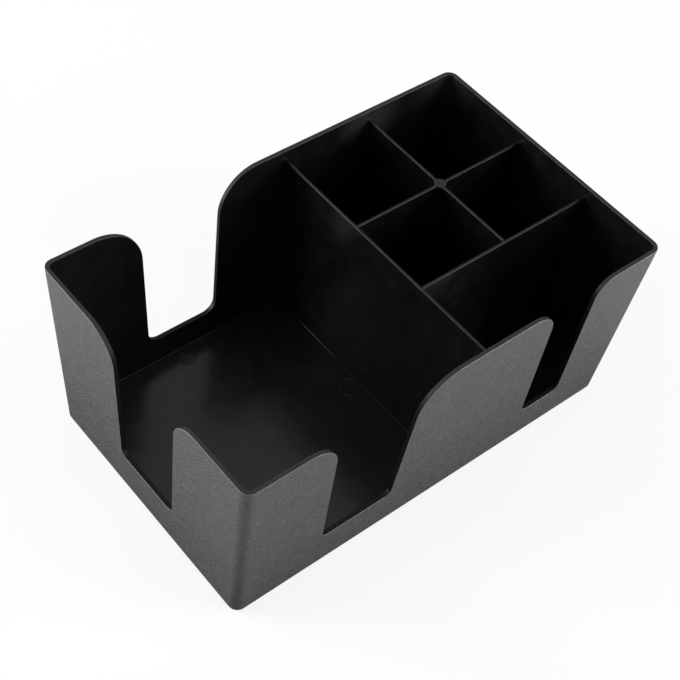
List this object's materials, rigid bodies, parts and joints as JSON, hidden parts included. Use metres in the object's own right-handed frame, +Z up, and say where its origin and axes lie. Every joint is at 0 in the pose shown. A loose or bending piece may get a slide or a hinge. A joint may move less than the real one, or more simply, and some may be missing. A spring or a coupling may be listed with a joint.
{
  "type": "condiment caddy",
  "caption": "Open tabletop caddy with leaning walls: a deep napkin bay, small garnish cells and a long front bay, with finger cut-outs down from the rim.",
  "frame": {"origin": "middle of the footprint, on the surface that the feet stand on", "axes": "+X to the right along the length, away from the napkin bay; +Y to the back, away from the long bay's cut-out; +Z up"},
  "size_m": [0.241, 0.148, 0.1055],
  "materials": {
    "shell_plastic": "black plastic with a fine matte grain outside and on the rim, polished inside",
    "divider_plastic": "polished black plastic",
    "foot_rubber": "matte anti-slip rubber"
  },
  "bodies": {
    "root": {"caddy_shell": "shell_plastic", "napkin_divider": "divider_plastic", "bay_divider": "divider_plastic", "cell_cross": "divider_plastic", "foot_front_left": "foot_rubber", "foot_front_right": "foot_rubber", "foot_back_left": "foot_rubber", "foot_back_right": "foot_rubber"}
  },
  "joints": []
}
